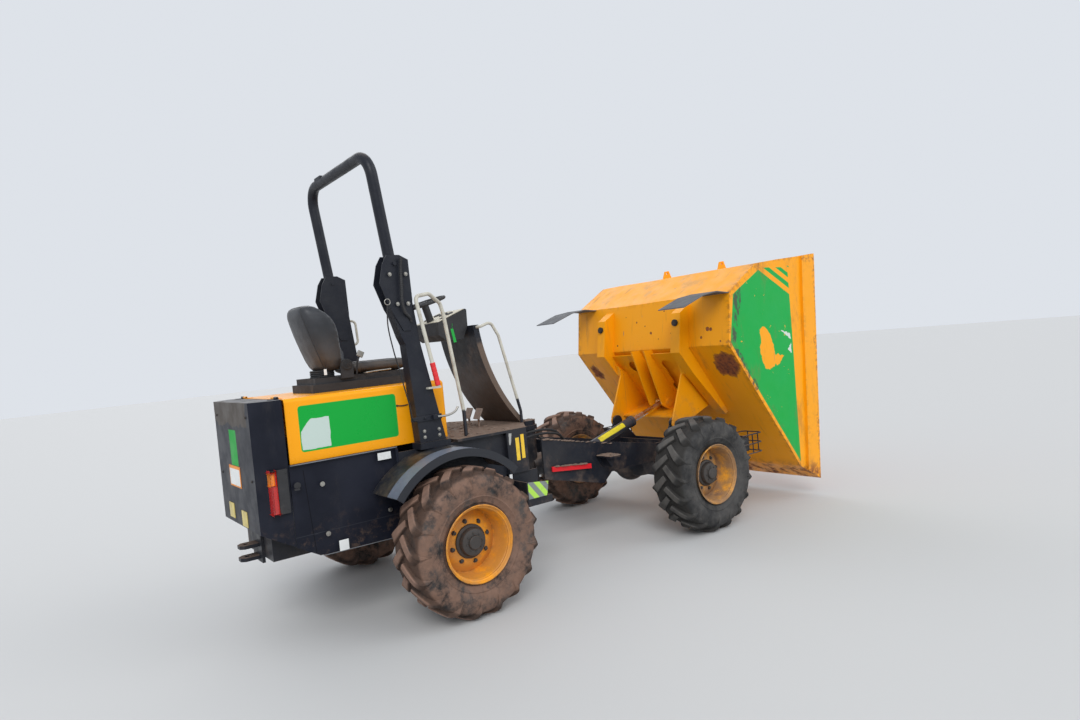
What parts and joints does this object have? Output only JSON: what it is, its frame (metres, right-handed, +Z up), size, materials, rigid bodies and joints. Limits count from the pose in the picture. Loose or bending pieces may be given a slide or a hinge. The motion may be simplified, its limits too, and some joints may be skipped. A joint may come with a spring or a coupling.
{
  "type": "site dumper",
  "caption": "Front-tipping articulated site dumper: raised open skip, hinged chassis, lugged tyres, folding roll-over hoop, seat on a lifting engine cover.",
  "frame": {"origin": "on the ground at the middle of the bounding box, below the machine's centre line", "axes": "+X forwards to the skip, +Y to the driver's left, +Z up"},
  "size_m": [5.893, 2.352, 3.4669],
  "materials": {
    "yellow_paint": "worn gloss",
    "black_paint": "satin",
    "rubber_tyre": "muddy",
    "rim_paint": "worn gloss",
    "black_plastic": "moulded",
    "seat_cover": "vinyl",
    "steel_mass": "cast",
    "chrome_rod": "polished",
    "rail_paint": "worn gloss",
    "lamp_red": "lens",
    "lamp_clear": "lens",
    "buffer_rubber": "matt",
    "lock_red": "gloss",
    "green_paint": "gloss",
    "blank_label": "film",
    "lamp_amber": "lens",
    "guard_plastic": "moulded"
  },
  "bodies": {
    "rear": {"rear_frame": "black_paint", "bulkhead": "black_paint", "pivot_yoke": "black_paint", "rear_shell": "black_plastic", "floor_plate": "black_paint", "steps": "black_paint", "scuttle": "black_plastic", "dash": "black_plastic", "steering_wheel": "black_plastic", "controls": "black_paint", "grab_rails": "rail_paint", "tow_hitch": "black_paint", "tail_lamps": "lamp_red", "engine": "steel_mass", "rear_axle": "black_paint", "side_panel_left": "black_plastic", "fender_left": "black_plastic", "rops_post_left": "black_paint", "side_panel_right": "black_plastic", "fender_right": "black_plastic", "rops_post_right": "black_paint"},
    "front": {"trunnion": "black_paint", "front_frame": "black_paint", "front_axle": "black_paint", "lamp_guards": "black_paint", "headlamps": "lamp_clear", "lock_bar": "lock_red"},
    "skip": {"skip_shell": "yellow_paint", "skip_frame": "yellow_paint", "skip_buffers": "buffer_rubber", "lifting_eyes": "yellow_paint", "skip_guards": "guard_plastic"},
    "ram_barrel": {"ram_barrel": "black_paint"},
    "ram_rod": {"ram_rod": "chrome_rod"},
    "steering_barrel": {"steering_barrel": "black_paint"},
    "steering_rod": {"steering_rod": "chrome_rod"},
    "cover": {"bonnet": "yellow_paint", "seat_plinth": "black_plastic", "seat_cushion": "seat_cover", "seat_back": "seat_cover"},
    "hoop": {"rops_hoop": "black_paint"},
    "wheel_rear_left": {"tyre_rear_left": "rubber_tyre", "rim_rear_left": "rim_paint"},
    "wheel_rear_right": {"tyre_rear_right": "rubber_tyre", "rim_rear_right": "rim_paint"},
    "wheel_front_left": {"tyre_front_left": "rubber_tyre", "rim_front_left": "rim_paint"},
    "wheel_front_right": {"tyre_front_right": "rubber_tyre", "rim_front_right": "rim_paint"}
  },
  "joints": [
    {"name": "steer", "type": "hinge", "parent": "rear", "child": "front", "pos_m": [-0.3035, 0, 0.79], "axis": [0, 0, 1], "range_deg": [-35, 35]},
    {"name": "skip_tip", "type": "hinge", "parent": "front", "child": "skip", "pos_m": [1.2785, 0, 0.95], "axis": [0, -1, 0], "range_deg": [0, 95]},
    {"name": "ram_swing", "type": "hinge", "parent": "front", "child": "ram_barrel", "pos_m": [0.2835, 0, 0.75], "axis": [0, -1, 0], "range_deg": [0, 18.07]},
    {"name": "ram_stroke", "type": "slide", "parent": "ram_barrel", "child": "ram_rod", "axis": [0.9598, 0, 0.2806], "range_m": [-0.3878, 0]},
    {"name": "steering_swing", "type": "hinge", "parent": "rear", "child": "steering_barrel", "pos_m": [-0.6835, 0.23, 0.585], "axis": [0, 0, 1], "range_deg": [-18, 18]},
    {"name": "steering_stroke", "type": "slide", "parent": "steering_barrel", "child": "steering_rod", "axis": [0.9952, 0.0981, 0], "range_m": [-0.162, 0.162]},
    {"name": "cover_lift", "type": "hinge", "parent": "rear", "child": "cover", "pos_m": [-2.6975, 0, 1.708], "axis": [0, -1, 0], "range_deg": [0, 35]},
    {"name": "hoop_fold", "type": "hinge", "parent": "rear", "child": "hoop", "pos_m": [-1.8235, 0, 2.6], "axis": [0, -1, 0], "range_deg": [0, 85]},
    {"name": "roll_rear_left", "type": "hinge", "parent": "rear", "child": "wheel_rear_left", "pos_m": [-1.6165, 0.981, 0.5375], "axis": [0, 1, 0], "continuous": true},
    {"name": "roll_rear_right", "type": "hinge", "parent": "rear", "child": "wheel_rear_right", "pos_m": [-1.6165, -0.981, 0.5375], "axis": [0, 1, 0], "continuous": true},
    {"name": "roll_front_left", "type": "hinge", "parent": "front", "child": "wheel_front_left", "pos_m": [1.0095, 0.981, 0.5375], "axis": [0, 1, 0], "continuous": true},
    {"name": "roll_front_right", "type": "hinge", "parent": "front", "child": "wheel_front_right", "pos_m": [1.0095, -0.981, 0.5375], "axis": [0, 1, 0], "continuous": true}
  ],
  "couplings": [
    {"joint": "ram_swing", "follows": "skip_tip", "ratio": 0.187},
    {"joint": "ram_stroke", "follows": "skip_tip", "m_per_rad": -0.2327},
    {"joint": "steering_swing", "follows": "steer", "ratio": 0.5},
    {"joint": "steering_stroke", "follows": "steer", "m_per_rad": -0.2616}
  ]
}
